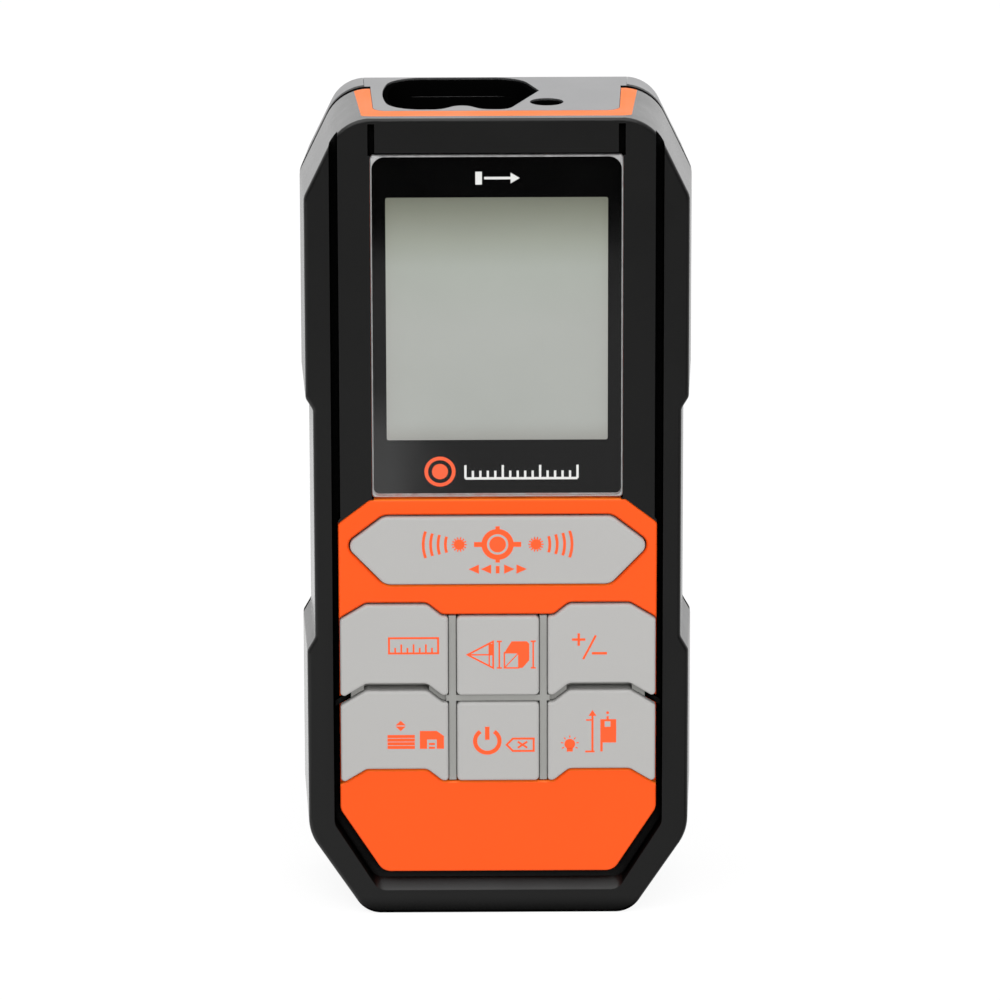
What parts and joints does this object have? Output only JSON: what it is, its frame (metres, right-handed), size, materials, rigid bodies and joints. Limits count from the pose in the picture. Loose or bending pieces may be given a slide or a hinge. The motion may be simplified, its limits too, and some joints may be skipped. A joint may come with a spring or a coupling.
{
  "type": "laser distance meter",
  "caption": "Upright hand-held laser distance meter with display window, sprung keys, battery door and receiver and laser openings in its end.",
  "frame": {"origin": "middle of the flat tail end, about half way through the case", "axes": "+Z from the tail end to the laser end, -Y is the face with the display and keys, +X to the right of that face"},
  "size_m": [0.0546, 0.027, 0.114],
  "materials": {
    "orange_plastic": "fine moulded texture",
    "black_rubber": "fine matte soft grip",
    "grey_plastic": "fine moulded texture",
    "key_plastic": "satin",
    "grey_silicone": "matte silicone",
    "clear_window": "polished",
    "black_film": "printed film",
    "liquid_crystal": "satin polariser",
    "light_guide": "diffusing",
    "white_plastic": "moulded",
    "conductive_rubber": "striped elastomer",
    "circuit_board": "solder mask",
    "chip_plastic": "moulded epoxy",
    "black_plastic": "matte",
    "lens_glass": "polished, coated",
    "brass": "machined",
    "steel": "zinc plated",
    "tin_plate": "tinned",
    "spring_steel": "nickel plated",
    "cell_jacket": "plain jacket",
    "wire_insulation": "PVC"
  },
  "bodies": {
    "case": {"front_housing": "orange_plastic", "front_grip": "black_rubber", "end_cap": "grey_plastic", "housing_gasket": "black_rubber", "rear_housing": "grey_plastic", "rear_grip_left": "black_rubber", "rear_grip_right": "black_rubber", "display_window": "clear_window", "display_gasket": "black_film", "lcd_panel": "liquid_crystal", "lcd_backlight": "light_guide", "lcd_frame": "white_plastic", "lcd_connector": "conductive_rubber", "keypad_mat": "grey_silicone", "dome_switches": "spring_steel", "main_pcb": "circuit_board", "main_chip": "chip_plastic", "board_parts": "chip_plastic", "buzzer": "black_plastic", "optical_chassis": "black_plastic", "receiver_lens": "lens_glass", "laser_barrel": "brass", "laser_diode": "brass", "collimator_lens": "lens_glass", "receiver_board": "circuit_board", "photodetector": "tin_plate", "shield_can": "tin_plate", "battery_left": "cell_jacket", "battery_right": "cell_jacket", "battery_springs": "spring_steel", "battery_link": "spring_steel", "battery_contacts": "spring_steel", "battery_wires": "wire_insulation", "housing_screws": "steel", "board_screws": "steel", "optics_screws": "steel"},
    "door": {"battery_door": "grey_plastic"},
    "measure_button": {"measure_key": "key_plastic"},
    "unit_button": {"unit_key": "key_plastic"},
    "function_button": {"function_key": "key_plastic"},
    "plus_minus_button": {"plus_minus_key": "key_plastic"},
    "memory_button": {"memory_key": "key_plastic"},
    "power_button": {"power_key": "key_plastic"},
    "reference_button": {"reference_key": "key_plastic"}
  },
  "joints": [
    {"name": "measure_press", "type": "slide", "parent": "case", "child": "measure_button", "axis": [0, 1, 0], "range_m": [0, 0.0007], "stiffness_N_per_m": 1800},
    {"name": "unit_press", "type": "slide", "parent": "case", "child": "unit_button", "axis": [0, 1, 0], "range_m": [0, 0.0007], "stiffness_N_per_m": 1800},
    {"name": "function_press", "type": "slide", "parent": "case", "child": "function_button", "axis": [0, 1, 0], "range_m": [0, 0.0007], "stiffness_N_per_m": 1800},
    {"name": "plus_minus_press", "type": "slide", "parent": "case", "child": "plus_minus_button", "axis": [0, 1, 0], "range_m": [0, 0.0007], "stiffness_N_per_m": 1800},
    {"name": "memory_press", "type": "slide", "parent": "case", "child": "memory_button", "axis": [0, 1, 0], "range_m": [0, 0.0007], "stiffness_N_per_m": 1800},
    {"name": "power_press", "type": "slide", "parent": "case", "child": "power_button", "axis": [0, 1, 0], "range_m": [0, 0.0007], "stiffness_N_per_m": 1800},
    {"name": "reference_press", "type": "slide", "parent": "case", "child": "reference_button", "axis": [0, 1, 0], "range_m": [0, 0.0007], "stiffness_N_per_m": 1800},
    {"name": "battery_door_hinge", "type": "hinge", "parent": "case", "child": "door", "pos_m": [0, 0.0122, 0.0602], "axis": [1, 0, 0], "range_deg": [0, 80]}
  ]
}
